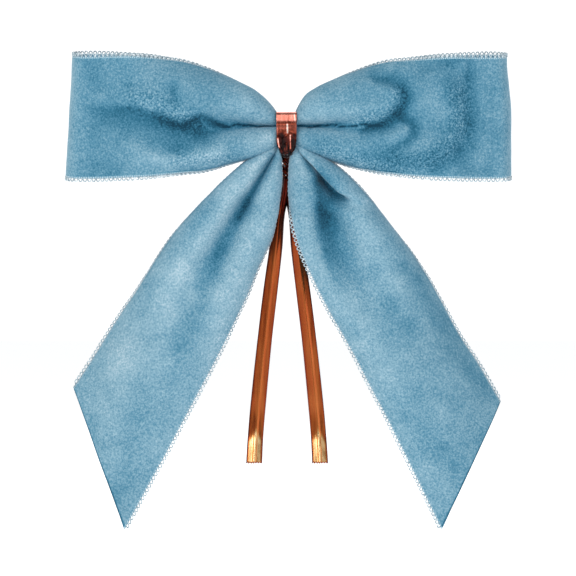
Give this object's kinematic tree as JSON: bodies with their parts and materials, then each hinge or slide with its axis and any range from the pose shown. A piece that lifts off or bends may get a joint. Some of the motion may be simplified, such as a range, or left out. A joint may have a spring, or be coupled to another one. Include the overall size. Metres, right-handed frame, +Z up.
{
  "type": "gift bow",
  "caption": "Pre-made velvet ribbon gift bow: two loops and two slant-cut tails pinched by a copper film twist tie whose legs bind it to a gift or branch.",
  "frame": {"origin": "centre of the flat back face of the tie's band, where the bow is held against what it decorates", "axes": "+Z up from the tails to the loops, +Y out of the bow's back, +X to the right seen from the front"},
  "size_m": [0.09, 0.014, 0.0975],
  "materials": {
    "ribbon_gather": "single-face velvet, cut pile outside",
    "ribbon_loop_left": "single-face velvet, cut pile outside",
    "ribbon_loop_right": "single-face velvet, cut pile outside",
    "ribbon_tail_left": "single-face velvet, cut pile outside",
    "ribbon_tail_right": "single-face velvet, cut pile outside",
    "tie_band_outer_film": "copper metallised film",
    "tie_band_inner_film": "copper metallised film",
    "tie_twist_left_strand": "copper metallised film",
    "tie_twist_right_strand": "copper metallised film",
    "tie_leg_left_front_film": "copper metallised film",
    "tie_leg_left_back_film": "copper metallised film",
    "tie_leg_right_front_film": "copper metallised film",
    "tie_leg_right_back_film": "copper metallised film",
    "tie_band_wire": "plain drawn wire",
    "tie_twist_left_wire": "plain drawn wire",
    "tie_twist_right_wire": "plain drawn wire",
    "tie_leg_left_wire": "plain drawn wire",
    "tie_leg_right_wire": "plain drawn wire"
  },
  "bodies": {
    "knot": {"ribbon_gather": "ribbon_gather", "tie_band_outer_film": "tie_band_outer_film", "tie_band_inner_film": "tie_band_inner_film", "tie_band_wire": "tie_band_wire", "tie_twist_left_strand": "tie_twist_left_strand", "tie_twist_right_strand": "tie_twist_right_strand", "tie_twist_left_wire": "tie_twist_left_wire", "tie_twist_right_wire": "tie_twist_right_wire"},
    "loop_left": {"ribbon_loop_left": "ribbon_loop_left"},
    "loop_right": {"ribbon_loop_right": "ribbon_loop_right"},
    "tail_left": {"ribbon_tail_left": "ribbon_tail_left"},
    "tail_right": {"ribbon_tail_right": "ribbon_tail_right"},
    "tie_leg_left": {"tie_leg_left_front_film": "tie_leg_left_front_film", "tie_leg_left_back_film": "tie_leg_left_back_film", "tie_leg_left_wire": "tie_leg_left_wire"},
    "tie_leg_right": {"tie_leg_right_front_film": "tie_leg_right_front_film", "tie_leg_right_back_film": "tie_leg_right_back_film", "tie_leg_right_wire": "tie_leg_right_wire"}
  },
  "joints": [
    {"name": "loop_left_fold", "type": "hinge", "parent": "knot", "child": "loop_left", "pos_m": [-0.0046, -0.0035, 0], "axis": [0, 0, 1], "range_deg": [-20, 20], "stiffness_Nm_per_rad": 0.002},
    {"name": "loop_right_fold", "type": "hinge", "parent": "knot", "child": "loop_right", "pos_m": [0.0046, -0.0035, 0], "axis": [0, 0, 1], "range_deg": [-20, 20], "stiffness_Nm_per_rad": 0.002},
    {"name": "tail_left_swing", "type": "hinge", "parent": "knot", "child": "tail_left", "pos_m": [-0.0022, -0.005, -0.0061], "axis": [1, 0, 0], "range_deg": [-50, 0], "stiffness_Nm_per_rad": 0.0006},
    {"name": "tail_right_swing", "type": "hinge", "parent": "knot", "child": "tail_right", "pos_m": [0.0022, -0.005, -0.0061], "axis": [1, 0, 0], "range_deg": [-50, 0], "stiffness_Nm_per_rad": 0.0006},
    {"name": "tie_leg_left_bend", "type": "hinge", "parent": "knot", "child": "tie_leg_left", "pos_m": [-0.00131, -0.00253, -0.01385], "axis": [1, 0, 0], "range_deg": [0, 110]},
    {"name": "tie_leg_right_bend", "type": "hinge", "parent": "knot", "child": "tie_leg_right", "pos_m": [0.00131, -0.00253, -0.01385], "axis": [1, 0, 0], "range_deg": [0, 110]}
  ]
}
